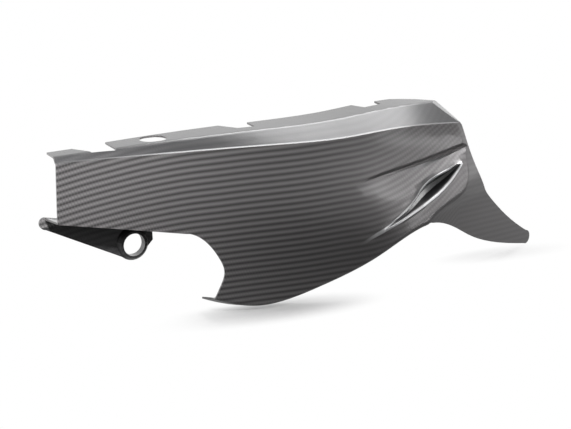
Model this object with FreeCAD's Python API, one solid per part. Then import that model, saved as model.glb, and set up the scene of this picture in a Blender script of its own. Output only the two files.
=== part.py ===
import FreeCAD, Part
import math
import os
from collections import namedtuple

# A one-piece moulded swingarm protector, in millimetres. It is drawn with X from the front end to the tail,
# Y inwards from the outer face at the front end, and Z up from the level of its lowest edge. The finished
# shell is then moved so that the centre of the eye's bore is the origin.

Vector = FreeCAD.Vector
Station = namedtuple("Station", "x fold_y fold_z crease_y crease_z waist_y belly_y hem_y")
VentRow = namedtuple("VentRow", "along upper lower depth lift sink")
DishRow = namedtuple("DishRow", "along spread depth lift")

# Laminate and folds
WALL = 1.6
TOP_FOLD_RADIUS = 6.0
TAIL_FOLD_RADIUS = 8.0
LEDGE_WIDTH = 2.0
LEDGE_DROP = 0.8
FLANGE_RISE_DEG = 2.5

# Cross sections: the outer face at its top fold, crease, waist, belly and hem
WAIST_Z = 95.0
BELLY_Z = 45.0
HEM_Z = -30.0
STATIONS = (
    Station(-15.0, 5.0, 147.0, 0.3, 142.3, 0.3, 0.3, 0.3),
    Station(60.0, 5.0, 150.3, -1.5, 143.0, -2.5, -2.0, 0.0),
    Station(130.0, 7.0, 152.6, -3.5, 142.5, -7.0, -7.0, 0.0),
    Station(200.0, 10.0, 153.5, -5.0, 141.5, -11.0, -13.0, 0.0),
    Station(270.0, 14.0, 155.5, -4.0, 141.6, -12.0, -17.0, -6.0),
    Station(340.0, 21.0, 160.5, 1.0, 144.9, -7.0, -18.0, -10.0),
    Station(395.0, 30.0, 160.0, 9.0, 141.6, 3.0, -7.0, -2.0),
    Station(460.0, 46.0, 160.0, 22.0, 139.0, 17.0, 10.0, 16.0),
    Station(545.0, 66.0, 160.0, 42.0, 138.0, 38.0, 32.0, 38.0),
)

# Tail: where the outer face turns inwards, as height and X, and the point in plan that it turns towards
TAIL_FOLD = (
    (-25.0, 331.0), (8.0, 333.0), (40.0, 336.0), (56.0, 343.0), (72.0, 373.0), (90.0, 398.0), (108.0, 398.0),
    (124.0, 395.0), (140.0, 389.0),
)
TAIL_END_X = 512.0
TAIL_END_Y = 80.0

# Rear top corner: two points of the slanting edge where the shoulder turns into the rear facet
CORNER_LOW = Vector(389.5, 8.2, 142.0)
CORNER_HIGH = Vector(372.0, 26.0, 160.5)

# Lower front flange, its fold line at the outer face and its slope inwards
LEFT_FLOOR_FRONT_Z = 92.0
LEFT_FLOOR_REAR_Z = 72.0
LEFT_FLOOR_LENGTH = 114.0
LEFT_FLOOR_SLOPE_DEG = 5.0
LEFT_FLOOR_RADIUS = 2.5

# Belly flange under the lower edge
BELLY_LINE = (
    (60.0, 45.0), (142.0, 9.3), (182.0, -0.8), (237.0, 8.8), (291.0, 28.8), (328.0, 47.2), (352.0, 54.2),
)
BELLY_FLOOR_SLOPE_DEG = 13.0
BELLY_FLOOR_RADIUS = 5.0

# Hub notch seen from the side, as X and Z, from the lower front flange down to the belly
NOTCH_EDGE = (
    (LEFT_FLOOR_LENGTH, 73.0), (124.0, 68.6), (134.3, 59.3), (142.3, 47.8), (147.0, 35.0), (144.2, 24.0),
    (138.3, 9.3),
)

# Tail outline seen from the side, as X and Z
REAR_EDGE_TOP = (378.5, 159.3)
REAR_EDGE = (
    (395.4, 139.5), (403.3, 120.5), (414.0, 98.3), (427.0, 80.6), (450.5, 58.8), (474.7, 39.3), (499.4, 22.3),
    (520.5, 10.0),
)
TAIL_TIP_X = 526.5
TAIL_UNDER = (
    (517.0, -2.5), (488.5, 4.4), (464.6, 11.1), (441.2, 19.0), (418.5, 28.7), (396.2, 40.7), (374.5, 50.8),
    (347.5, 57.6),
)

# Top flange in plan, from the front: tab edges and the notches between them
TOP_EDGE = (
    (-20.0, 21.5), (22.0, 22.0), (33.0, 5.0), (54.0, 4.0), (54.0, 28.0), (162.0, 37.0), (174.0, 22.0),
    (190.6, 22.0), (190.6, 38.0), (300.0, 48.0), (306.0, 34.0), (324.0, 36.0), (324.0, 48.0), (340.0, 49.0),
    (362.0, 40.0), (390.0, 20.0),
)
TOP_HOLE_X = 93.5
TOP_HOLE_Y = 19.5
TOP_HOLE_LENGTH = 24.0
TOP_HOLE_WIDTH = 20.0

# Belly flange in plan
BELLY_EDGE = ((100.0, 22.0), (150.0, 21.0), (250.0, 0.0), (352.0, -5.0))

# Ear under the lower front flange, with its eye in a raised collar
EAR_THICKNESS = 2.5
EAR_LEAN_DEG = 8.0
EAR_NOSE_REACH = 5.0
EAR_NOSE_LOW_Z = 81.0
EAR_REAR_REACH = 18.8
EAR_REAR_RISE = 1.7
EAR_SIDE_DEG = -18.0
EYE_X = 76.5
EYE_Z = 61.0
EYE_FACE_Y = 27.0
EYE_BORE_RADIUS = 9.75
EYE_RIM_RADIUS = 11.8
EYE_COLLAR_RADIUS = 14.3
EYE_COLLAR_RAISE = 4.0

# Vent groove: its axis on the wall, as X and Z, its raised lips, its flank as shares of width and depth, and
# rows along it with the lips' crests
VENT_FRONT = (277.0, 48.0)
VENT_REAR = (390.0, 105.0)
LIP_WIDTH = 4.5
LIP_HEIGHT = 0.9
LIP_ROOT = 0.8
LIP_ROLL = 1.2
VENT_FLANK = ((0.06, 0.12), (0.2, 0.45), (0.36, 0.9))
VENT_ROWS = (
    VentRow(-4.0, 1.2, 0.2, 0.6, 2.4, 1.6),
    VentRow(20.0, 0.3, -1.0, 0.8, 1.6, 0.2),
    VentRow(42.0, 1.2, -3.2, 2.4, 0.0, 0.0),
    VentRow(62.0, 3.6, -5.0, 5.5, 0.0, 0.0),
    VentRow(80.0, 8.0, -6.4, 9.0, 0.0, 0.0),
    VentRow(97.0, 7.0, -6.7, 9.0, 0.0, 0.0),
    VentRow(113.0, 3.6, -4.9, 5.5, 0.0, 0.0),
    VentRow(129.0, 0.3, -0.9, 0.8, 1.8, 0.9),
)

# Dish above the vent, with a steep upper side
DISH_FRONT = (262.0, 100.0)
DISH_REAR = (392.0, 121.5)
DISH_BRINK = 3.0
DISH_STEEP = 1.5
DISH_DROP = 0.8
DISH_FLOOR = 4.0
DISH_RUNOUT = 6.0
DISH_RISE = 0.5
DISH_ROWS = (
    DishRow(0.0, 20.0, 0.3, 1.0),
    DishRow(35.0, 22.0, 1.4, 0.0),
    DishRow(75.0, 18.0, 2.6, 0.0),
    DishRow(115.0, 10.5, 2.6, 0.0),
    DishRow(160.0, 9.0, 2.6, 0.0),
)

# Room that cutters reach past the shell
REACH = 60.0
CUTTER_REACH = 10.0
BACK_Y = 110.0


def mitre(before, here, after, inset):
    """Corner of a profile moved inwards by the inset, square to both of its sides."""
    first = (here - before).normalize()
    second = (after - here).normalize()
    normal_first = Vector(0, -first.z, first.y)
    normal_second = Vector(0, -second.z, second.y)
    return here + (normal_first + normal_second) * (inset / (1 + normal_first.dot(normal_second)))


def rounded(before, corner, after, radius):
    """Arc that rounds one corner of a profile."""
    first = (corner - before).normalize()
    second = (after - corner).normalize()
    turn = first.getAngle(second)
    run = radius * math.tan(turn / 2)
    middle = corner + (second - first).normalize() * (radius / math.cos(turn / 2) - radius)
    return Part.Arc(corner - first * run, middle, corner + second * run)


def line(start, end):
    """Straight edge between two points."""
    return Part.LineSegment(start, end).toShape()


def facets(points):
    """Straight edges from point to point."""
    return [line(start, end) for start, end in zip(points, points[1:])]


def curve(points):
    """Smooth edge through points."""
    spline = Part.BSplineCurve()
    spline.interpolate(points)
    return spline.toShape()


def profile_curves(points):
    """One smooth edge through points at even parameters, so that a loft's profiles share their knots."""
    last = len(points) - 1
    spline = Part.BSplineCurve()
    spline.interpolate(Points=points, Parameters=[k / last for k in range(len(points))])
    return [spline.toShape()]


def section(station, inset, back_y):
    """Closed profile across the plug at one station."""
    rise = math.radians(FLANGE_RISE_DEG)
    fold = Vector(station.x, station.fold_y, station.fold_z)
    top = Vector(station.x, back_y, station.fold_z + (back_y - station.fold_y) * math.tan(rise))
    crease = Vector(station.x, station.crease_y, station.crease_z)
    valley = crease + Vector(0, LEDGE_WIDTH, LEDGE_DROP)
    waist = Vector(station.x, station.waist_y, WAIST_Z)
    belly = Vector(station.x, station.belly_y, BELLY_Z)
    hem = Vector(station.x, station.hem_y, HEM_Z)
    top_in = top - Vector(0, 0, inset / math.cos(rise))
    fold_in = mitre(top, fold, valley, inset)
    valley_in = mitre(fold, valley, crease, inset)
    crease_in = mitre(valley, crease, waist, inset)
    waist_in = mitre(crease, waist, belly, inset)
    belly_in = mitre(waist, belly, hem, inset)
    hem_in = hem + Vector(0, inset, 0)
    corner = Vector(station.x, back_y, HEM_Z)
    arc = rounded(top_in, fold_in, valley_in, TOP_FOLD_RADIUS - inset)
    edges = facets([hem_in, corner, top_in, arc.StartPoint])
    edges += [arc.toShape()] + facets([arc.EndPoint, valley_in, crease_in])
    return Part.Wire(edges + profile_curves([crease_in, waist_in, belly_in, hem_in]))


def plug(inset, back_y):
    """Solid whose front is the outer face, moved inwards by the inset."""
    return Part.makeLoft([section(station, inset, back_y) for station in STATIONS], True, False)


def wall_depth(blank, x, z):
    """Y of the outer face at a place seen from the side."""
    probe = line(Vector(x, -REACH, z), Vector(x, BACK_Y / 2, z))
    return blank.common(probe).BoundBox.YMin


def tail_direction(x, y):
    """Direction in plan from a point of the tail fold to the tail's end."""
    return Vector(TAIL_END_X - x, TAIL_END_Y - y, 0).normalize()


def tail_cutter(blank, inset):
    """Everything behind the tail's outer face."""
    wires = []
    for z, x in TAIL_FOLD:
        y = wall_depth(blank, x, z)
        run = tail_direction(x, y)
        inward = Vector(-run.y, run.x, 0)
        fold = Vector(x, y, z) + inward * inset
        near = fold - run * 2 * REACH
        far = fold + run * 5 * REACH
        aside = inward * 5 * REACH
        wires.append(Part.makePolygon([near, far, far - aside, near - aside, near]))
    under = wires[0].translated(Vector(0, 0, -REACH / 2))
    over = wires[-1].translated(Vector(0, 0, REACH / 2))
    return Part.makeLoft([under] + wires + [over], True, False)


def corner_cutter(inset):
    """Everything above and behind the slanting rear facet."""
    along = (CORNER_HIGH - CORNER_LOW).normalize()
    run = tail_direction(CORNER_LOW.x, CORNER_LOW.y)
    outward = run.cross(along).normalize()
    if outward.z < 0:
        outward = outward * -1
    across = outward.cross(along).normalize()
    base = CORNER_LOW - outward * inset
    corners = [(-1, -1), (1, -1), (1, 1), (-1, 1), (-1, -1)]
    points = [base + along * (2 * REACH * a) + across * (2 * REACH * b) for a, b in corners]
    return Part.Face(Part.makePolygon(points)).extrude(outward * 3 * REACH)


def upright_edge(solid):
    """The tail fold: the tallest edge between the outer face and the tail."""
    behind = [edge for edge in solid.Edges if edge.BoundBox.XMin > LEFT_FLOOR_LENGTH]
    inner = [edge for edge in behind if edge.BoundBox.YMax < BACK_Y / 2 and edge.BoundBox.XMax < TAIL_END_X]
    return max(inner, key=lambda edge: edge.BoundBox.ZLength)


def wall_frame(blank, x, z, along):
    """Point on the outer face with its directions upwards across it and out of it."""
    step = WALL
    here = Vector(x, wall_depth(blank, x, z), z)
    slope_x = (wall_depth(blank, x + step, z) - wall_depth(blank, x - step, z)) / (2 * step)
    slope_z = (wall_depth(blank, x, z + step) - wall_depth(blank, x, z - step)) / (2 * step)
    out = Vector(slope_x, -1, slope_z).normalize()
    ahead = Vector(along[0], along[0] * slope_x + along[1] * slope_z, along[1]).normalize()
    across = out.cross(ahead).normalize()
    if across.z < 0:
        across = across * -1
    return here, across, out


def axis(front, rear):
    """Unit direction of an axis seen from the side."""
    length = math.hypot(rear[0] - front[0], rear[1] - front[1])
    return (rear[0] - front[0]) / length, (rear[1] - front[1]) / length


def wall_loft(blank, front, rear, rows, profile, edges_through, reach):
    """Solid lofted through profiles that stand across an axis on the outer face, closed that far out."""
    along = axis(front, rear)
    wires = []
    for row in rows:
        x = front[0] + along[0] * row.along
        z = front[1] + along[1] * row.along
        here, across, out = wall_frame(blank, x, z, along)
        points = [here + across * p + out * n for p, n in profile(row)]
        closing = facets([points[-1], points[-1] + out * reach, points[0] + out * reach, points[0]])
        wires.append(Part.Wire(edges_through(points) + closing))
    return Part.makeLoft(wires, True, False)


def vent_lips(blank):
    """Low pillow on the outer face that the vent's lips are left from."""
    def profile(row):
        half = (row.upper - row.lower) / 2
        share = (half / (half + LIP_WIDTH)) ** 2
        crown = (LIP_HEIGHT + share * LIP_ROOT) / (1 - share)
        middle = (row.upper + row.lower) / 2
        shape = [(row.upper + LIP_WIDTH, -LIP_ROOT), (middle, crown), (row.lower - LIP_WIDTH, -LIP_ROOT)]
        return [(p, n - row.sink) for p, n in shape]
    return wall_loft(blank, VENT_FRONT, VENT_REAR, VENT_ROWS, profile, profile_curves, -CUTTER_REACH)


def vent_cutter(blank, inset):
    """Leaf-shaped groove that rolls over its lips."""
    def profile(row):
        upper = row.upper + inset
        lower = row.lower - inset
        flank = [(share * (upper - lower), LIP_HEIGHT - drop * row.depth) for share, drop in VENT_FLANK]
        rim = [(-2 * LIP_ROLL, LIP_HEIGHT + LIP_ROLL), (-LIP_ROLL / 2, LIP_HEIGHT - LIP_ROLL / 4)]
        side = [(p, n + row.lift - inset) for p, n in rim + flank]
        return [(upper - p, n) for p, n in side] + [(lower + p, n) for p, n in side[::-1]]
    return wall_loft(blank, VENT_FRONT, VENT_REAR, VENT_ROWS, profile, facets, CUTTER_REACH)


def dish_cutter(blank, inset):
    """Shallow dish with a steep upper side."""
    def profile(row):
        shape = [
            (DISH_BRINK, DISH_RISE), (0.0, -WALL / 4), (-DISH_STEEP, -DISH_DROP * row.depth),
            (-DISH_FLOOR, -row.depth), (-row.spread / 2, -row.depth / 2), (-row.spread, 0.0),
            (-row.spread - DISH_RUNOUT, DISH_RISE),
        ]
        return [(p, n + row.lift - inset) for p, n in shape]
    return wall_loft(blank, DISH_FRONT, DISH_REAR, DISH_ROWS, profile, facets, CUTTER_REACH)


def sloped_prism(edges, slope_deg):
    """Outline seen from the side, carried inwards along a slope."""
    slope = math.tan(math.radians(slope_deg))
    face = Part.Face(Part.Wire(edges))
    face.translate(Vector(0, -REACH, REACH * slope))
    span = REACH + BACK_Y + REACH
    return face.extrude(Vector(0, span, -span * slope))


def left_floor_z(x, y):
    """Height of the lower front flange's outer face."""
    fall = (LEFT_FLOOR_FRONT_Z - LEFT_FLOOR_REAR_Z) / LEFT_FLOOR_LENGTH
    return LEFT_FLOOR_FRONT_Z - fall * x - y * math.tan(math.radians(LEFT_FLOOR_SLOPE_DEG))


def left_floor(raise_by):
    """Everything under the lower front flange."""
    corners = [
        Vector(-REACH, 0, left_floor_z(-REACH, 0) + raise_by),
        Vector(LEFT_FLOOR_LENGTH, 0, LEFT_FLOOR_REAR_Z + raise_by),
        Vector(LEFT_FLOOR_LENGTH, 0, 2 * HEM_Z),
        Vector(-REACH, 0, 2 * HEM_Z),
    ]
    edges = [line(corners[k - 1], corners[k]) for k in range(len(corners))]
    return sloped_prism(edges, LEFT_FLOOR_SLOPE_DEG)


def belly_floor(raise_by):
    """Everything under the belly flange."""
    points = [Vector(x, 0, z + raise_by) for x, z in BELLY_LINE]
    low_rear = Vector(points[-1].x, 0, 3 * HEM_Z)
    low_front = Vector(points[0].x, 0, 3 * HEM_Z)
    edges = [curve(points), line(points[-1], low_rear), line(low_rear, low_front), line(low_front, points[0])]
    return sloped_prism(edges, BELLY_FLOOR_SLOPE_DEG)


def lower_edge(solid, low_x):
    """Fold line of a lower flange: the longest low edge of the outer face beyond a place along X."""
    low = [edge for edge in solid.Edges if edge.BoundBox.ZMax < WAIST_Z and edge.BoundBox.YMax < BACK_Y / 4]
    beyond = [edge for edge in low if edge.BoundBox.XMin > low_x]
    return max(beyond, key=lambda edge: edge.BoundBox.XLength)


def body(blank, inset, back_y):
    """The moulded form as a solid block, moved inwards by the inset."""
    solid = plug(inset, back_y).cut(tail_cutter(blank, inset))
    solid = solid.makeFillet(TAIL_FOLD_RADIUS - inset, [upright_edge(solid)])
    solid = solid.cut(corner_cutter(inset))
    solid = solid.cut(left_floor(inset))
    solid = solid.makeFillet(LEFT_FLOOR_RADIUS - inset, [lower_edge(solid, -REACH)])
    solid = solid.cut(belly_floor(inset))
    solid = solid.makeFillet(BELLY_FLOOR_RADIUS - inset, [lower_edge(solid, BELLY_LINE[0][0])])
    return solid.cut(dish_cutter(blank, inset))


def side_view(points):
    """Points given as X and Z, placed in the plane of the side view."""
    return [Vector(x, 0, z) for x, z in points]


def notch_outline(under_z):
    """Edges of the hub notch, from the lower front flange round to below the belly."""
    edge = side_view(NOTCH_EDGE)
    start = Vector(edge[0].x, 0, under_z)
    low = Vector(edge[-1].x, 0, 2 * HEM_Z)
    return [line(start, edge[0]), curve(edge), line(edge[-1], low)]


def tail_outline():
    """Edges of the tail, from its under edge round the tip and up to its rear edge."""
    under = side_view(TAIL_UNDER)
    rear = side_view(REAR_EDGE)
    tip = Vector(TAIL_TIP_X, 0, (under[0].z + rear[-1].z) / 2)
    return [curve(under[::-1]), Part.Arc(under[0], tip, rear[-1]).toShape(), curve(rear[::-1])]


def side_keeper():
    """All that lies inside the shell's outline seen from the side."""
    top_z = 4 * REACH
    under_z = LEFT_FLOOR_REAR_Z - REACH
    notch = notch_outline(under_z)
    tail = tail_outline()
    front_top, front_low, notch_low = side_view([(0, top_z), (0, under_z), (NOTCH_EDGE[0][0], under_z)])
    below_front = notch[-1].Vertexes[-1].Point
    tail_start, rear_low, rear_high = side_view([TAIL_UNDER[-1], REAR_EDGE[0], REAR_EDGE_TOP])
    below_rear = Vector(tail_start.x, 0, below_front.z)
    over = rear_high + (rear_high - rear_low) * ((top_z - rear_high.z) / (rear_high.z - rear_low.z))
    edges = [line(front_top, front_low), line(front_low, notch_low)] + notch
    edges += [line(below_front, below_rear), line(below_rear, tail_start)]
    edges += tail + [line(rear_low, over), line(over, front_top)]
    face = Part.Face(Part.Wire(edges))
    face.translate(Vector(0, -REACH, 0))
    return face.extrude(Vector(0, 2 * REACH + BACK_Y, 0))


def plan_cutter(points, low_z, high_z):
    """All that lies further in than a line given in plan, between two heights."""
    far_y = BACK_Y + REACH
    outline = list(points) + [(points[-1][0], far_y), (points[0][0], far_y), points[0]]
    face = Part.Face(Part.makePolygon([Vector(x, y, low_z) for x, y in outline]))
    return face.extrude(Vector(0, 0, high_z - low_z))


def top_hole():
    """Slotted hole through the top flange."""
    radius = TOP_HOLE_WIDTH / 2
    reach = (TOP_HOLE_LENGTH - TOP_HOLE_WIDTH) / 2
    centre = Vector(TOP_HOLE_X, TOP_HOLE_Y, WAIST_Z + REACH / 2)
    ends = [Part.makeCylinder(radius, REACH, centre + Vector(side * reach, 0, 0)) for side in (-1, 1)]
    middle = Part.makeBox(2 * reach, TOP_HOLE_WIDTH, REACH, centre - Vector(reach, radius, 0))
    return ends[0].fuse(ends[1]).fuse(middle)


def ear_depth(z):
    """Y of the ear's leaning outer face at a height."""
    return EYE_FACE_Y + (z - EYE_Z) * math.tan(math.radians(EAR_LEAN_DEG))


def on_ear(x, z):
    """Point of the ear's outer face at a place seen from the side."""
    return Vector(x, ear_depth(z), z)


def eye_back():
    """How far the collar goes behind the ear's face, so that the bore's back end is square."""
    return EAR_THICKNESS + EYE_BORE_RADIUS * math.tan(math.radians(EAR_LEAN_DEG))


def flange_cutter():
    """All of the lower front flange that lies further in than the middle of the ear."""
    ends = (-REACH, LEFT_FLOOR_LENGTH + WALL)
    edge = [(x, ear_depth(left_floor_z(x, EYE_FACE_Y)) + EAR_THICKNESS / 2) for x in ends]
    return plan_cutter(edge, 0.0, LEFT_FLOOR_FRONT_Z + WALL)


def ear():
    """Leaning plate that hangs from the lower front flange and carries the eye's collar."""
    seat = EYE_COLLAR_RADIUS - WALL / 2
    reach = math.hypot(EYE_X, EAR_NOSE_LOW_Z - EYE_Z)
    angle = math.atan2(EYE_Z - EAR_NOSE_LOW_Z, EYE_X) - math.asin(seat / reach)
    run = math.sqrt(reach ** 2 - seat ** 2)
    side = math.radians(EAR_SIDE_DEG)
    rear_x = EYE_X + EAR_REAR_REACH
    nose_high_z = left_floor_z(0, EYE_FACE_Y) + WALL
    nose_high = on_ear(0, nose_high_z)
    nose_low = on_ear(0, EAR_NOSE_LOW_Z)
    nose = on_ear(-EAR_NOSE_REACH, (nose_high_z + EAR_NOSE_LOW_Z) / 2)
    corners = [
        nose_low,
        on_ear(run * math.cos(angle), EAR_NOSE_LOW_Z + run * math.sin(angle)),
        on_ear(EYE_X + seat * math.cos(side), EYE_Z + seat * math.sin(side)),
        on_ear(rear_x, EYE_Z + EAR_REAR_RISE),
        on_ear(rear_x, left_floor_z(rear_x, EYE_FACE_Y) + WALL),
        nose_high,
    ]
    outline = [Part.Arc(nose_high, nose, nose_low).toShape(), Part.makePolygon(corners)]
    plate = Part.Face(Part.Wire(outline)).extrude(Vector(0, EAR_THICKNESS, 0))
    face = Vector(EYE_X, EYE_FACE_Y, EYE_Z)
    rim = Part.makeCone(EYE_COLLAR_RADIUS, EYE_RIM_RADIUS, EYE_COLLAR_RAISE, face, Vector(0, -1, 0))
    boss = Part.makeCylinder(EYE_COLLAR_RADIUS, eye_back(), face, Vector(0, 1, 0))
    return plate.fuse(rim).fuse(boss)


def eye_bore():
    """Round hole through the ear and its collar."""
    base = Vector(EYE_X, 0, EYE_Z)
    return Part.makeCylinder(EYE_BORE_RADIUS, EYE_FACE_Y + REACH, base, Vector(0, 1, 0))


def shell():
    """The whole protector, with the centre of the eye's bore at the origin."""
    blank = plug(0.0, BACK_Y)
    outer = body(blank, 0.0, BACK_Y).fuse(vent_lips(blank)).cut(vent_cutter(blank, 0.0))
    inner = body(blank, WALL, BACK_Y + WALL).cut(vent_cutter(blank, WALL))
    skin = outer.cut(inner)
    skin = skin.common(side_keeper())
    skin = skin.cut(plan_cutter(TOP_EDGE, WAIST_Z + REACH / 2, 4 * REACH))
    skin = skin.cut(flange_cutter())
    skin = skin.cut(plan_cutter(BELLY_EDGE, 2 * HEM_Z, BELLY_LINE[-1][1] + WALL))
    skin = skin.cut(top_hole())
    skin = skin.fuse(ear()).cut(eye_bore())
    eye_y = EYE_FACE_Y + (eye_back() - EYE_COLLAR_RAISE) / 2
    return skin.translated(Vector(-EYE_X, -eye_y, -EYE_Z))


def main():
    """Build the shell and write it out."""
    os.makedirs("parts", exist_ok=True)
    shell().removeSplitter().exportStep("parts/protector_shell.step")


if __name__ == "__main__":
    main()
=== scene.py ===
import logging
import math
from dataclasses import dataclass, field
from enum import Enum
from typing import Any, Optional, Union

import bmesh
import bpy
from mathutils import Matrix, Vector


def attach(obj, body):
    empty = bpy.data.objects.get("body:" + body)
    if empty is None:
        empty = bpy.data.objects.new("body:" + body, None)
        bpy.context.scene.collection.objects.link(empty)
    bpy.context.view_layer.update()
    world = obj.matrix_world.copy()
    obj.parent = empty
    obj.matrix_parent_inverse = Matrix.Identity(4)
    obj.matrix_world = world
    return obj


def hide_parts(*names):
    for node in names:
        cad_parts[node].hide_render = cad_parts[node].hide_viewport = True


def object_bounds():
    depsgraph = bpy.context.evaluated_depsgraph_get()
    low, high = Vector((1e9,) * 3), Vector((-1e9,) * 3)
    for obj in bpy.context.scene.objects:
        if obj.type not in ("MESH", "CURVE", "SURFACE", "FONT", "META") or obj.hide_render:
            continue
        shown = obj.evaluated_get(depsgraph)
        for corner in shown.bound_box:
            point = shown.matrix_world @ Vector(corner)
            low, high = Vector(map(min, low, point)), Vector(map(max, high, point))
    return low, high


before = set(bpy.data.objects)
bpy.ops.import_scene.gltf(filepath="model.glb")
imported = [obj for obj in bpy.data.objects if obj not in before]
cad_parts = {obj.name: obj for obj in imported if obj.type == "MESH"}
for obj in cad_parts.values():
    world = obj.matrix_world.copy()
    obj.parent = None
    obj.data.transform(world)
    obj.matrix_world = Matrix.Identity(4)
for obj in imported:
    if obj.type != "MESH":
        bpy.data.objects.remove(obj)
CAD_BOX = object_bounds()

# Looks, light and camera for a clear-coated carbon swingarm protector.
# Places are in the frame's metres. The origin is the centre of the ear's eye, +X runs towards the tail,
# +Y inwards and +Z up.

log = logging.getLogger("swingarm_protector")

Colour = tuple[float, float, float, float]
Point = tuple[float, float, float]
Pair = tuple[float, float]
Profile = tuple[Pair, ...]
Key = Union[str, int]
Operand = Union["Signal", float]
Tint = Union["Signal", Colour]
Axes = tuple["Signal", "Signal", "Signal"]

MM = 0.001
WHITE: Colour = (1.0, 1.0, 1.0, 1.0)
DIAGONAL = math.sqrt(0.5)
QUARTER_TURN = math.pi / 2.0
IMAGE_WIDTH_PX = 571
SENSOR_WIDTH_MM = 36.0

# Numbers of the Mix node's sockets for colours
MIX_FACTOR = 0
MIX_LOW = 6
MIX_HIGH = 7
MIX_RESULT = 2


class Ray(Enum):
    """Kinds of ray that see the white background."""

    CAMERA = "Is Camera Ray"
    GLOSSY = "Is Glossy Ray"
    TRANSMISSION = "Is Transmission Ray"


class LampRole(Enum):
    """What each lamp is for."""

    TOP = "top_softbox"
    FRONT = "front_key"
    STRIP = "front_strip"
    SIDE = "side_softbox"
    LOW = "low_rear_strip"
    REAR = "rear_edge"


class Signal:
    """One output socket, with arithmetic that adds Math nodes."""

    def __init__(self, graph: "Graph", socket: Optional[bpy.types.NodeSocket]) -> None:
        """Keep the graph and the socket, which is None for a node without outputs."""
        self.graph = graph
        self.socket = socket

    def _math(self, operation: str, first: Operand, second: Optional[Operand] = None) -> "Signal":
        """Result of a new Math node on one or two values or signals."""
        values = {0: first} if second is None else {0: first, 1: second}
        return self.graph.node("ShaderNodeMath", {"operation": operation}, values)

    def __add__(self, other: Operand) -> "Signal":
        """Sum."""
        return self._math("ADD", self, other)

    def __radd__(self, other: Operand) -> "Signal":
        """Sum with a number on the left."""
        return self._math("ADD", other, self)

    def __sub__(self, other: Operand) -> "Signal":
        """Difference."""
        return self._math("SUBTRACT", self, other)

    def __rsub__(self, other: Operand) -> "Signal":
        """Difference from a number on the left."""
        return self._math("SUBTRACT", other, self)

    def __mul__(self, other: Operand) -> "Signal":
        """Product."""
        return self._math("MULTIPLY", self, other)

    def __rmul__(self, other: Operand) -> "Signal":
        """Product with a number on the left."""
        return self._math("MULTIPLY", other, self)

    def __truediv__(self, other: Operand) -> "Signal":
        """Quotient."""
        return self._math("DIVIDE", self, other)

    def __rtruediv__(self, other: Operand) -> "Signal":
        """Quotient of a number on the left."""
        return self._math("DIVIDE", other, self)

    def __mod__(self, other: Operand) -> "Signal":
        """Remainder that is never negative."""
        return self._math("FLOORED_MODULO", self, other)

    def __rmod__(self, other: Operand) -> "Signal":
        """Remainder of a number on the left."""
        return self._math("FLOORED_MODULO", other, self)

    def __lt__(self, other: Operand) -> "Signal":
        """One where the signal is below the other, zero elsewhere."""
        return self._math("LESS_THAN", self, other)

    def __gt__(self, other: Operand) -> "Signal":
        """One where the signal is above the other, zero elsewhere."""
        return self._math("GREATER_THAN", self, other)

    def __abs__(self) -> "Signal":
        """Size without sign."""
        return self._math("ABSOLUTE", self)

    def floor(self) -> "Signal":
        """Next whole number down."""
        return self._math("FLOOR", self)

    def sine(self) -> "Signal":
        """Sine of the signal in radians."""
        return self._math("SINE", self)

    def smaller(self, other: Operand) -> "Signal":
        """Lesser of the signal and the other."""
        return self._math("MINIMUM", self, other)

    def larger(self, other: Operand) -> "Signal":
        """Greater of the signal and the other."""
        return self._math("MAXIMUM", self, other)


class Graph:
    """Node tree that nodes are added to by type, settings and sockets."""

    def __init__(self, tree: bpy.types.NodeTree) -> None:
        """Take over the tree of a material or of the world, and empty it."""
        self.tree = tree
        tree.nodes.clear()

    def node(self, kind: str, settings: dict[str, Any], sockets: dict[Key, Any], output: Key = 0) -> Signal:
        """Add a node.

        Args:
            kind: Blender's type name of the node.
            settings: Properties to set first.
            sockets: Values or signals by input name or number.
            output: Name or number of the output to return.

        Returns:
            The chosen output.
        """
        made = self.tree.nodes.new(kind)
        for name, value in settings.items():
            setattr(made, name, value)
        for key, value in sockets.items():
            if isinstance(value, Signal):
                self.tree.links.new(value.socket, made.inputs[key])
            else:
                made.inputs[key].default_value = value
        return Signal(self, made.outputs[output] if made.outputs else None)

    def curve(self, value: Signal, points: Profile, corners: tuple[int, ...] = ()) -> Signal:
        """Add a Float Curve node through points.

        Args:
            value: Input from 0 to 1.
            points: Places and heights, in order.
            corners: Numbers of the points where the curve turns sharply.

        Returns:
            Height of the curve at the value.
        """
        made = self.node("ShaderNodeFloatCurve", {}, {"Value": value})
        mapping = made.socket.node.mapping
        mapping.use_clip = False
        line = mapping.curves[0]
        # A new curve already has two points.
        for place in points[2:]:
            line.points.new(*place)
        for index, place in enumerate(points):
            line.points[index].location = place
            line.points[index].handle_type = "VECTOR" if index in corners else "AUTO"
        mapping.update()
        return made

    def rise(self, value: Signal, low: float, high: float) -> Signal:
        """Smooth step from 0 at the low value to 1 at the high one."""
        limits = {"Value": value, "From Min": low, "From Max": high}
        return self.node("ShaderNodeMapRange", {"interpolation_type": "SMOOTHSTEP"}, limits)

    def axes(self, vector: Signal) -> Axes:
        """X, Y and Z of a vector."""
        outputs = self.node("ShaderNodeSeparateXYZ", {}, {"Vector": vector}).socket.node.outputs
        return Signal(self, outputs["X"]), Signal(self, outputs["Y"]), Signal(self, outputs["Z"])

    def blend(self, factor: Signal, low: Tint, high: Tint) -> Signal:
        """Mix of two colours, with the factor as the share of the high one."""
        sockets = {MIX_FACTOR: factor, MIX_LOW: low, MIX_HIGH: high}
        return self.node("ShaderNodeMix", {"data_type": "RGBA"}, sockets, MIX_RESULT)

    def any_ray(self, *rays: Ray) -> Signal:
        """Tell the given kinds of ray from the others.

        Args:
            rays: Kinds of ray.

        Returns:
            One for those rays, zero for others.
        """
        found, *others = [self.node("ShaderNodeLightPath", {}, {}, ray.value) for ray in rays]
        for other in others:
            found = found.larger(other)
        return found


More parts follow.
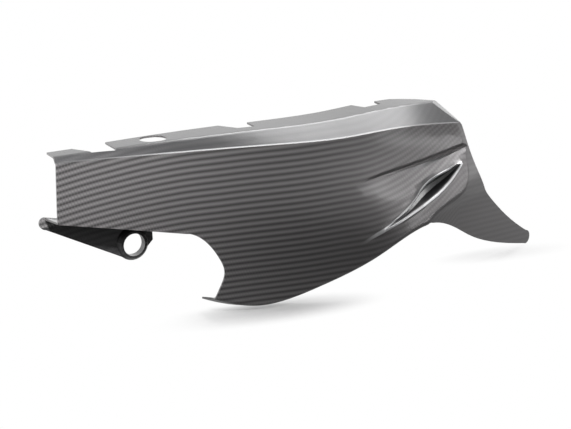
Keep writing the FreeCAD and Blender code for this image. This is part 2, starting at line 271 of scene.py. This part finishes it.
@dataclass(frozen=True)
class TwillCarbon:
    """Clear-coated two-by-two twill carbon cloth, laid so that its wales run along the part."""

    name: str = "clear_coated_twill_carbon"

    # Cloth, resin and clear coat
    tow_width: float = 1.85 * MM
    warp_colour: Colour = (0.345, 0.332, 0.336, 1.0)
    weft_colour: Colour = (0.050, 0.048, 0.049, 1.0)
    # The resin's colour also serves as painted shade on the ear and in the vent's groove.
    resin_and_shade_colour: Colour = (0.045, 0.045, 0.047, 1.0)
    fibre_metal: float = 0.7
    fibre_roughness: float = 0.42
    fibre_specular: float = 0.2
    coat_weight: float = 1.0
    coat_roughness: float = 0.21
    coat_ior: float = 1.55
    crown_bump: float = 0.15
    crown_height: float = 0.15 * MM

    # Contrast of the weave, which is less towards the rear and on faces that turn there
    middle_tone: float = 0.5
    mean_crown: float = 0.64
    crown_shade: float = 0.22
    wale_fade_x: Pair = (0.12, 0.25)
    wale_fade: float = 0.62
    rear_turn: Pair = (0.08, 0.30)
    rear_fade: float = 0.55

    # Resin that covers the cloth on faces that turn up, and on the ear, where its dark colour is also
    # painted shade under the wall's lower edge
    shoulder_turn: Pair = (0.30, 0.62)
    show_through: float = 0.1
    ear_end_x: float = 0.028
    ear_top_z: float = 0.022
    ear_front_y: float = -0.021

    # Vent: its axis in X and Z, how far it runs along that axis, and its lips above and below it. A painted
    # highlight runs along the lips and painted shade fills the groove between them.
    painted_highlight_colour: Colour = (0.85, 0.85, 0.86, 1.0)
    lip_inner: float = 0.5 * MM
    lip_outer: float = 1.5 * MM
    lip_fade: float = 0.22
    vent_front: Pair = (0.2005, -0.0130)
    vent_rear: Pair = (0.3135, 0.0440)
    vent_run: Pair = (-0.004, 0.129)
    upper_lip: Profile = (
        (0.0, 0.0008), (0.18, 0.0003), (0.346, 0.0012), (0.496, 0.0036),
        (0.632, 0.0080), (0.759, 0.0070), (0.880, 0.0036), (1.0, 0.0003),
    )
    lower_lip: Profile = (
        (0.0, 0.0002), (0.18, -0.0010), (0.346, -0.0032), (0.496, -0.0050),
        (0.632, -0.0064), (0.759, -0.0067), (0.880, -0.0049), (1.0, -0.0009),
    )

    # Drape of the wales: their rise from the front end to the tail, with a sharp turn at one point
    flat_face: float = 0.85
    front_x: float = -0.0815
    tail_x: float = 0.4505
    drape: Profile = (
        (0.00, 0.000), (0.085, 0.009), (0.197, 0.0168), (0.291, 0.0188), (0.480, 0.0213),
        (0.573, 0.0258), (0.649, 0.0388), (0.752, 0.0696), (1.0, 0.0564),
    )
    drape_fold: int = 7

    def material(self) -> bpy.types.Material:
        """Build the finish.

        Returns:
            New material.
        """
        made = bpy.data.materials.new(self.name)
        made.use_nodes = True
        graph = Graph(made.node_tree)
        place = graph.axes(graph.node("ShaderNodeTexCoord", {}, {}, "Object"))
        facing = graph.axes(graph.node("ShaderNodeNewGeometry", {}, {}, "Normal"))
        warp_share, crown = self._twill(*self._cloth_coordinates(graph, place, facing))
        colour = self._colour(graph, warp_share, crown, place, facing)
        crowns = {"Strength": self.crown_bump, "Distance": self.crown_height, "Height": crown}
        shader = graph.node("ShaderNodeBsdfPrincipled", {}, {
            "Base Color": colour,
            "Metallic": self.fibre_metal,
            "Roughness": self.fibre_roughness,
            "Specular IOR Level": self.fibre_specular,
            "Coat Weight": self.coat_weight,
            "Coat Roughness": self.coat_roughness,
            "Coat IOR": self.coat_ior,
            "Normal": graph.node("ShaderNodeBump", {}, crowns),
        })
        graph.node("ShaderNodeOutputMaterial", {}, {"Surface": shader})
        return made

    def _cloth_coordinates(self, graph: Graph, place: Axes, facing: Axes) -> tuple[Signal, Signal]:
        """Place on the cloth, across its wales and along them.

        Args:
            graph: Material's graph.
            place: Place on the part.
            facing: Normal of the surface.

        Returns:
            Distances in metres across the wales and along them.
        """
        x, y, z = place
        flat = abs(facing[2]) > self.flat_face
        share = (x - self.front_x) / (self.tail_x - self.front_x)
        lift = graph.curve(share, self.drape, (self.drape_fold,))
        return z - lift + flat * y, x

    def _twill(self, across: Signal, along: Signal) -> tuple[Signal, Signal]:
        """Which tow lies on top, and how its crown stands.

        Args:
            across: Distance across the wales.
            along: Distance along the wales.

        Returns:
            Share of the warp on top, and the height of the tow's crown from 0 to 1.
        """
        scale = DIAGONAL / self.tow_width
        warp = (across + along) * scale
        weft = (across - along) * scale
        step = warp.floor() + weft.floor() + 1.0
        warp_share = ((step * QUARTER_TURN).sine() + 1.0) / 2.0
        warp_crown = ((warp % 1.0) * math.pi).sine()
        weft_crown = ((weft % 1.0) * math.pi).sine()
        return warp_share, warp_share * warp_crown + (1.0 - warp_share) * weft_crown

    def _colour(self, graph: Graph, warp_share: Signal, crown: Signal, place: Axes, facing: Axes) -> Signal:
        """Lay the resin over the cloth, with painted shade on the ear, then the vent's groove in painted
        shade and its lips in a painted highlight over both.

        Args:
            graph: Material's graph.
            warp_share: Share of the warp on top.
            crown: Height of the tow's crown from 0 to 1.
            place: Place on the part.
            facing: Normal of the surface.

        Returns:
            Colour under the clear coat.
        """
        tone = self._tone(graph, warp_share, crown, place, facing)
        cloth = graph.blend(tone, self.weft_colour, self.warp_colour)
        laminate = graph.blend(self._cloth_share(graph, place, facing), self.resin_and_shade_colour, cloth)
        # Painted shade in the vent's groove and a painted highlight on its lips, laid over the laminate.
        lip_highlight_share, groove_shade_share = self._vent(graph, place, facing)
        return graph.blend(lip_highlight_share, graph.blend(groove_shade_share, laminate, self.resin_and_shade_colour), self.painted_highlight_colour)

    def _tone(self, graph: Graph, warp_share: Signal, crown: Signal, place: Axes, facing: Axes) -> Signal:
        """Shade the twill's two tones by the tows' crowns, and soften them towards the rear.

        Args:
            graph: Material's graph.
            warp_share: Share of the warp on top.
            crown: Height of the tow's crown from 0 to 1.
            place: Place on the part.
            facing: Normal of the surface.

        Returns:
            Share of the bright tone.
        """
        turned = 1.0 - self.rear_fade * graph.rise(facing[0], *self.rear_turn)
        depth = turned * (1.0 - self.wale_fade * graph.rise(place[0], *self.wale_fade_x))
        weave = (warp_share - self.middle_tone) * (1.0 - self.crown_shade)
        crowns = (crown - self.mean_crown) * self.crown_shade
        return self.middle_tone + (weave + crowns) * depth

    def _cloth_share(self, graph: Graph, place: Axes, facing: Axes) -> Signal:
        """Where the cloth shows, and where resin covers it: the shoulder, the flange and the ear, where the
        dark resin also stands in for painted shade under the wall's lower edge.

        Args:
            graph: Material's graph.
            place: Place on the part.
            facing: Normal of the surface.

        Returns:
            Share of the cloth.
        """
        x, y, z = place
        wall = 1.0 - graph.rise(facing[2], *self.shoulder_turn)
        # Painted shade: the ear, under the wall's lower edge, takes the dark resin colour.
        ear = (x < self.ear_end_x) * (y > self.ear_front_y) * (z < self.ear_top_z)
        return self.show_through + wall * (1.0 - ear) * (1.0 - self.show_through)

    def _vent(self, graph: Graph, place: Axes, facing: Axes) -> tuple[Signal, Signal]:
        """Painted highlight on the crests of the vent's two lips, and painted shade in the groove between
        them.

        Args:
            graph: Material's graph.
            place: Place on the part.
            facing: Normal of the surface.

        Returns:
            Share of the painted lip highlight, and share of the painted groove shade.
        """
        run = (Vector(self.vent_rear) - Vector(self.vent_front)).normalized()
        past_x = place[0] - self.vent_front[0]
        past_z = place[2] - self.vent_front[1]
        ahead = past_x * run.x + past_z * run.y
        up = past_z * run.x - past_x * run.y
        start, end = self.vent_run
        share = (ahead - start) / (end - start)
        above = up - graph.curve(share, self.upper_lip)
        below = graph.curve(share, self.lower_lip) - up
        nearest = abs(above).smaller(abs(below))
        within = graph.rise(share, 0.0, self.lip_fade) * (share < 1.0) * (facing[1] < 0.0)
        # Painted highlight near the crests of the lips.
        lip_highlight_share = within * (1.0 - graph.rise(nearest, self.lip_inner, self.lip_outer))
        # Painted shade in the groove between the lips.
        return lip_highlight_share, within * (above < 0.0) * (below < 0.0)


@dataclass
class ProtectorShell:
    """The moulded shell, shown by a smooth-shaded copy of its solid."""

    finish: TwillCarbon = field(default_factory=TwillCarbon)
    node: str = "protector_shell"
    shown_name: str = "moulded_shell"
    slot: str = "carbon_laminate"
    body: str = "root"
    merge_distance: float = 0.002 * MM

    # Angles from which an edge shows as a fold, and where the lower one holds
    sharp_angle: float = math.radians(32.0)
    crease_angle: float = math.radians(11.8)
    crease_low_z: float = 0.075
    crease_high_z: float = 0.0857
    rear_start_x: float = 0.2
    dish_low_z: float = 0.036
    dish_climb: float = 0.12

    def build(self) -> bpy.types.Object:
        """Copy the solid's mesh, merge it and dress it.

        Returns:
            The shown piece.
        """
        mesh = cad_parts[self.node].data.copy()
        mesh.name = self.shown_name
        self._smooth(mesh)
        piece = bpy.data.objects.new(self.shown_name, mesh)
        bpy.context.scene.collection.objects.link(piece)
        self._dress(piece)
        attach(piece, self.body)
        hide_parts(self.node)
        return piece

    def _smooth(self, mesh: bpy.types.Mesh) -> None:
        """Join the loose triangles and shade them smooth between folds.

        Args:
            mesh: Mesh to change.
        """
        shape = bmesh.new()
        shape.from_mesh(mesh)
        bmesh.ops.remove_doubles(shape, verts=shape.verts, dist=self.merge_distance)
        for face in shape.faces:
            face.smooth = True
        for edge in shape.edges:
            edge.smooth = edge.calc_face_angle(math.pi) < self._fold_limit(edge)
        shape.to_mesh(mesh)
        shape.free()

    def _fold_limit(self, edge: bmesh.types.BMEdge) -> float:
        """Angle from which an edge shows as a fold.

        Args:
            edge: Edge of the shell.

        Returns:
            A low limit along the shoulder's crease and over the dish at the rear, a higher one elsewhere.
        """
        middle = (edge.verts[0].co + edge.verts[1].co) / 2.0
        crease = self.crease_low_z < middle.z < self.crease_high_z
        past_start = middle.x - self.rear_start_x
        dish = past_start > 0.0 and middle.z > self.dish_low_z + self.dish_climb * past_start
        return self.crease_angle if crease or dish else self.sharp_angle

    def _dress(self, piece: bpy.types.Object) -> None:
        """Give the piece its finish and even out its normals.

        Args:
            piece: Shown piece.
        """
        piece.data.materials.clear()
        piece.data.materials.append(self.finish.material())
        even = piece.modifiers.new("even_normals", "WEIGHTED_NORMAL")
        even.mode = "FACE_AREA"
        even.keep_sharp = True


@dataclass(frozen=True)
class Lamp:
    """One soft rectangular lamp, which the camera doesn't see."""

    role: LampRole
    place: Point
    aim: Point
    width: float
    depth: float
    watts: float
    spread: float = math.pi

    def build(self) -> bpy.types.Object:
        """Hang the lamp.

        Returns:
            The lamp.
        """
        data = bpy.data.lights.new(self.role.value, "AREA")
        data.shape = "RECTANGLE"
        data.size = self.width
        data.size_y = self.depth
        data.energy = self.watts
        data.spread = self.spread
        lamp = bpy.data.objects.new(self.role.value, data)
        lamp.location = self.place
        lamp.visible_camera = False
        lamp.rotation_euler = (Vector(self.aim) - Vector(self.place)).to_track_quat("-Z", "Y").to_euler()
        bpy.context.scene.collection.objects.link(lamp)
        return lamp


@dataclass(frozen=True)
class FloorZone:
    """Round stretch of floor that fades out between two distances from a point over its middle."""

    middle: Point
    near: float
    far: float

    def outside(self, graph: Graph, place: Signal) -> Signal:
        """How far out of the zone a place is.

        Args:
            graph: Floor material's graph.
            place: Place on the floor.

        Returns:
            Zero up to the near distance, rising to one at the far distance.
        """
        ends = {0: place, 1: self.middle}
        distance = graph.node("ShaderNodeVectorMath", {"operation": "DISTANCE"}, ends, "Value")
        return graph.rise(distance, self.near, self.far)


@dataclass
class Studio:
    """White floor, soft light and the camera."""

    # Floor as the camera sees it. Its shadow zones are places on a floor that is stretched first.
    floor_half_width: float = 6.0
    floor_colour: Colour = (0.92, 0.92, 0.92, 1.0)
    floor_glow: float = 0.06
    shadow_stretch: Point = (1.0, 3.0, 1.0)
    shadow_zones: tuple[FloorZone, ...] = (
        FloorZone(middle=(0.110, -0.11, 0.0), near=0.04, far=0.14),
        FloorZone(middle=(0.405, 0.11, 0.0), near=0.02, far=0.11),
    )

    # Floor as it lights the part and is mirrored in it, darker on the camera's side
    floor_shade: Colour = (0.04, 0.04, 0.04, 1.0)
    mirrored_glow: float = 0.05
    mirrored_zone: FloorZone = FloorZone(middle=(0.3, -1.6, 0.0), near=1.35, far=2.3)

    # Room as it lights the part and is mirrored in it, brighter overhead and behind
    world_strength: float = 0.10
    room_strength: float = 0.12
    ceiling_strength: float = 0.6
    ceiling_turn: Pair = (0.25, 0.70)
    backdrop_turn: Pair = (0.10, 0.60)

    # Camera
    aim: Point = (0.1325, -0.026935, 0.017)
    azimuth: float = math.radians(27.0)
    elevation: float = math.radians(13.5)
    distance: float = 1.6
    focal_px: float = 1840.0

    lamps: tuple[Lamp, ...] = (
        Lamp(LampRole.TOP, (0.90, 0.45, 1.30), (0.90, 0.45, 0.0), 0.6, 1.16, 14.0),
        Lamp(LampRole.FRONT, (-0.28, -0.78, 0.70), (-0.08, 0.0, 0.09), 0.15, 0.15, 0.55, math.radians(24.0)),
        Lamp(LampRole.STRIP, (1.02, -1.2, 0.42), (0.25, 0.0, 0.05), 0.95, 0.03, 1.1),
        Lamp(LampRole.SIDE, (1.6, -0.6, 0.7), (0.35, 0.0, 0.05), 0.6, 0.8, 11.0),
        Lamp(LampRole.LOW, (1.30, -0.95, -0.02), (0.27, 0.0, -0.02), 0.6, 0.08, 0.7),
        Lamp(LampRole.REAR, (1.45, 0.60, 0.80), (0.31, 0.0, 0.09), 0.4, 0.4, 1.3),
    )

    def build(self, floor_z: float) -> None:
        """Set up everything round the part.

        Args:
            floor_z: Height of the floor.
        """
        self._view_settings()
        self._floor(floor_z)
        self._world()
        for lamp in self.lamps:
            lamp.build()
            log.info("hung %s", lamp.role.value)
        self._camera()

    def _view_settings(self) -> None:
        """Show colours about as they are written."""
        bpy.context.scene.view_settings.view_transform = "Standard"

    def _floor(self, floor_z: float) -> None:
        """Lay a pale floor that keeps the part's shadow.

        Args:
            floor_z: Height of the floor.
        """
        mesh = bpy.data.meshes.new("studio_floor")
        shape = bmesh.new()
        bmesh.ops.create_grid(shape, x_segments=1, y_segments=1, size=self.floor_half_width)
        bmesh.ops.translate(shape, verts=shape.verts, vec=(0.0, 0.0, floor_z))
        shape.to_mesh(mesh)
        shape.free()
        floor = bpy.data.objects.new("studio_floor", mesh)
        bpy.context.scene.collection.objects.link(floor)
        mesh.materials.append(self._floor_material())

    def _floor_material(self) -> bpy.types.Material:
        """Matt floor that glows white to the camera outside the shadow zones, and in reflections far away.

        Returns:
            New material.
        """
        made = bpy.data.materials.new("pale_floor")
        made.use_nodes = True
        graph = Graph(made.node_tree)
        place = graph.node("ShaderNodeTexCoord", {}, {}, "Object")
        stretch = {0: place, 1: self.shadow_stretch}
        stretched = graph.node("ShaderNodeVectorMath", {"operation": "MULTIPLY"}, stretch)
        unshaded = math.prod(zone.outside(graph, stretched) for zone in self.shadow_zones)
        seen_glow = self.floor_glow + unshaded * (1.0 - self.floor_glow)
        far_away = self.mirrored_zone.outside(graph, place)
        mirrored_glow = self.mirrored_glow + far_away * (1.0 - self.mirrored_glow)
        seen = graph.any_ray(Ray.CAMERA)
        mirrored = graph.any_ray(Ray.GLOSSY, Ray.TRANSMISSION)
        colour = graph.blend(seen, self.floor_shade, self.floor_colour)
        matt = graph.node("ShaderNodeBsdfDiffuse", {}, {"Color": colour})
        glow = graph.node("ShaderNodeEmission", {}, {"Color": WHITE, "Strength": 1.0})
        share = seen * seen_glow + mirrored * mirrored_glow
        mixed = graph.node("ShaderNodeMixShader", {}, {0: share, 1: matt, 2: glow})
        graph.node("ShaderNodeOutputMaterial", {}, {"Surface": mixed})
        return made

    def _world(self) -> None:
        """Pale surroundings that look white to the camera."""
        world = bpy.data.worlds.new("studio_world")
        world.use_nodes = True
        bpy.context.scene.world = world
        graph = Graph(world.node_tree)
        direction = graph.axes(graph.node("ShaderNodeTexCoord", {}, {}, "Generated"))
        behind = graph.rise(direction[1], *self.backdrop_turn)
        above = graph.rise(direction[2], *self.ceiling_turn)
        seen = graph.any_ray(Ray.CAMERA)
        mirrored = graph.any_ray(Ray.GLOSSY, Ray.TRANSMISSION)
        room = self.room_strength + above * (self.ceiling_strength - self.room_strength)
        backdrop = room + behind * (1.0 - room)
        strength = seen + mirrored * backdrop + (1.0 - seen - mirrored) * self.world_strength
        shown = graph.node("ShaderNodeBackground", {}, {"Color": WHITE, "Strength": strength})
        graph.node("ShaderNodeOutputWorld", {}, {"Surface": shown})

    def _camera(self) -> None:
        """Stand the camera where the photograph was taken from."""
        data = bpy.data.cameras.new("photo_camera")
        data.sensor_width = SENSOR_WIDTH_MM
        data.sensor_fit = "HORIZONTAL"
        data.lens = SENSOR_WIDTH_MM * self.focal_px / IMAGE_WIDTH_PX
        camera = bpy.data.objects.new("photo_camera", data)
        level = math.cos(self.elevation)
        look = Vector((
            math.sin(self.azimuth) * level,
            math.cos(self.azimuth) * level,
            -math.sin(self.elevation),
        ))
        camera.location = Vector(self.aim) - look * self.distance
        camera.rotation_euler = look.to_track_quat("-Z", "Y").to_euler()
        bpy.context.scene.collection.objects.link(camera)
        bpy.context.scene.camera = camera


def main() -> None:
    """Dress the part, light it and set the camera."""
    logging.basicConfig(level=logging.INFO, format="%(message)s")
    piece = ProtectorShell().build()
    log.info("built %s with %d triangles", piece.name, len(piece.data.polygons))
    Studio().build(CAD_BOX[0].z)


if __name__ == "__main__":
    main()
